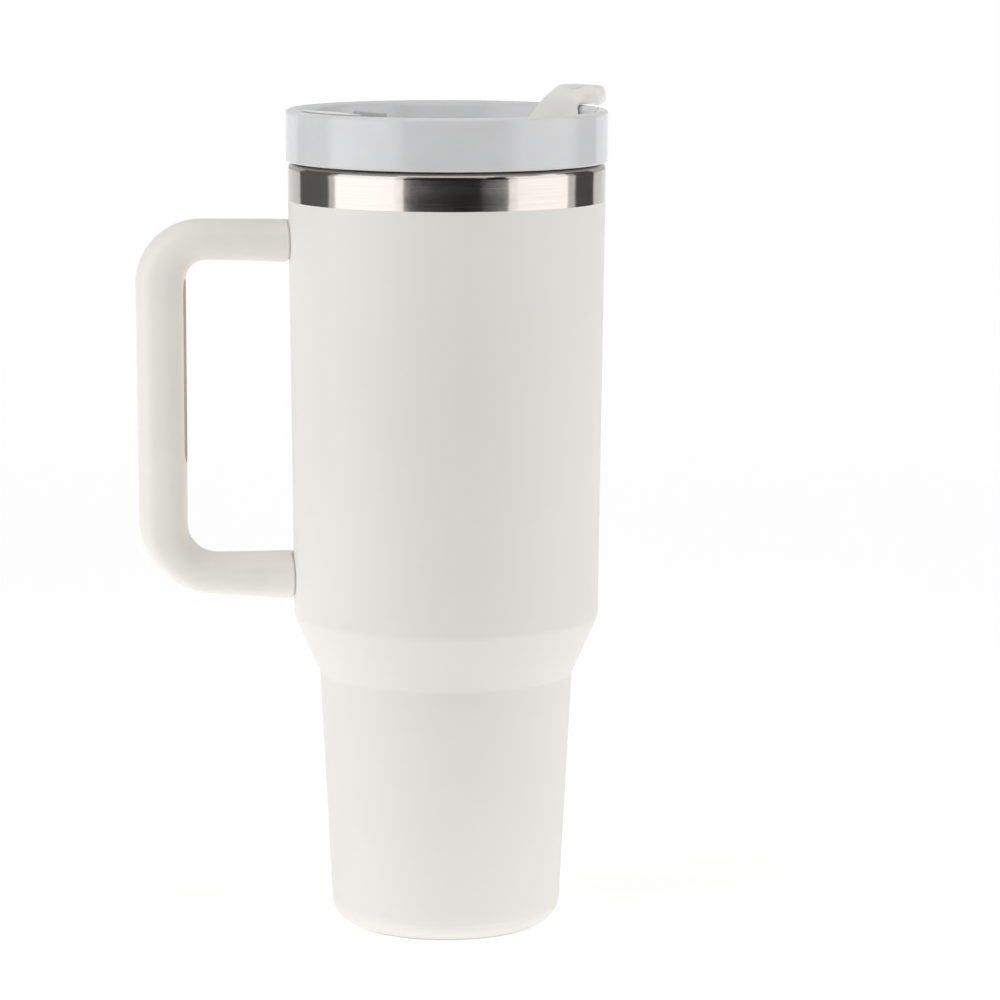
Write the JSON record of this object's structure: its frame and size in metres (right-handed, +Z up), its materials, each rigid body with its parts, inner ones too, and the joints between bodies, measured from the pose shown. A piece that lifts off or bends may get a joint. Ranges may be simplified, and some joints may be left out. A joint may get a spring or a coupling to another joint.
{
  "type": "insulated tumbler",
  "caption": "Tall double-walled steel tumbler with a stepped narrow base, a side handle and a push-in lid with a turning cover, lift-up drinking flap and carry tab.",
  "frame": {"origin": "centre of the base, on the cup's axis, at the surface the tumbler stands on", "axes": "+Z up along the cup's axis; the handle points to -X; the carry tab points 37 degrees from +X towards +Y"},
  "size_m": [0.1484, 0.101, 0.2652],
  "materials": {
    "coat": "fine satin powder coat",
    "steel": "polished, fine turned lines",
    "inner_steel": "satin inside",
    "solder": "dull",
    "handle": "soft matte",
    "insert": "soft matte",
    "lid_white": "milky, slightly translucent, glossy outside",
    "plug_grey": "smooth",
    "seal": "silicone",
    "cover": "fine matte",
    "grommet": "silicone",
    "flap": "fine matte",
    "hardware": "plain"
  },
  "bodies": {
    "cup": {"outer_wall": "steel", "powder_coat": "coat", "inner_liner": "inner_steel", "vacuum_base": "inner_steel", "vacuum_seal": "solder", "getter": "hardware", "base_cover": "steel", "upper_bracket": "hardware", "lower_bracket": "hardware", "handle_shell": "handle", "grip_insert": "insert", "handle_screws": "hardware"},
    "lid": {"lid_shell": "lid_white", "lid_plug": "plug_grey", "lid_seal": "seal"},
    "cover": {"cover_bar": "cover", "straw_grommet": "grommet", "port_seals": "seal", "pivot_washer": "hardware", "pivot_screw": "hardware"},
    "flap": {"drink_flap": "flap", "flap_stopper": "seal", "flap_pin": "hardware"}
  },
  "joints": [
    {"name": "lid_lift", "type": "slide", "parent": "cup", "child": "lid", "axis": [0, 0, 1], "range_m": [0, 0.06]},
    {"name": "cover_turn", "type": "hinge", "parent": "lid", "child": "cover", "pos_m": [0, 0, 0.2496], "axis": [0, 0, 1], "range_deg": [0, 180]},
    {"name": "flap_hinge", "type": "hinge", "parent": "cover", "child": "flap", "pos_m": [0.01797, 0.01354, 0.2505], "axis": [-0.6018, 0.7986, 0], "range_deg": [0, 100]}
  ]
}
